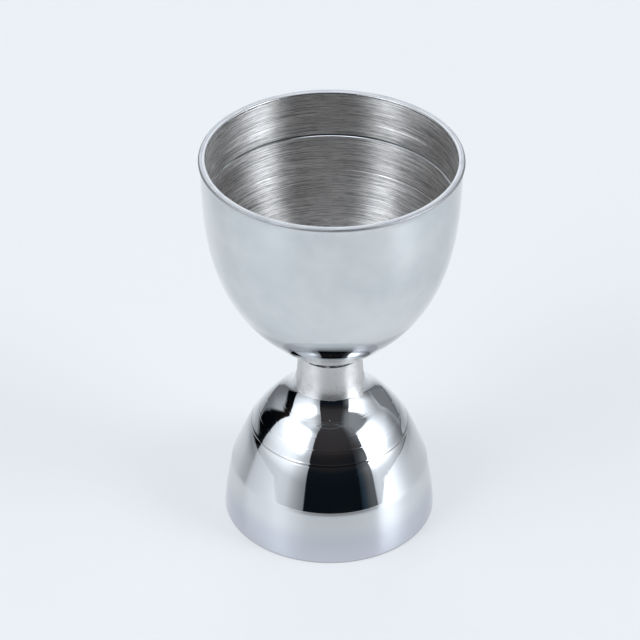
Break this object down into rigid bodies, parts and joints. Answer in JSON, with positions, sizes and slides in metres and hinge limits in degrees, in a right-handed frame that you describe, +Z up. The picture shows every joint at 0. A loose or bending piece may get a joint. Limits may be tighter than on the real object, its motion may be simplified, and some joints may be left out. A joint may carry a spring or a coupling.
{
  "type": "bar jigger",
  "caption": "Double-ended bar jigger in stainless steel: a large bell cup on a waisted neck, brazed to a smaller inverted bell cup that serves as the foot.",
  "frame": {"origin": "middle of the small cup's rim, on the surface that the jigger stands on", "axes": "+Z up along the axis that every piece is turned about, from the small cup to the large one"},
  "size_m": [0.053, 0.053, 0.0853],
  "materials": {
    "bright_steel": "polished stainless steel outside, turned in fine rings inside and on the lip",
    "mirror_steel": "mirror-polished stainless steel",
    "satin_steel": "satin stainless steel, ground after brazing, with small pits",
    "braze_metal": "satin, ground smooth with the neck"
  },
  "bodies": {
    "root": {"large_cup": "bright_steel", "small_cup": "mirror_steel", "neck": "satin_steel", "upper_braze": "braze_metal", "lower_braze": "braze_metal"}
  },
  "joints": []
}
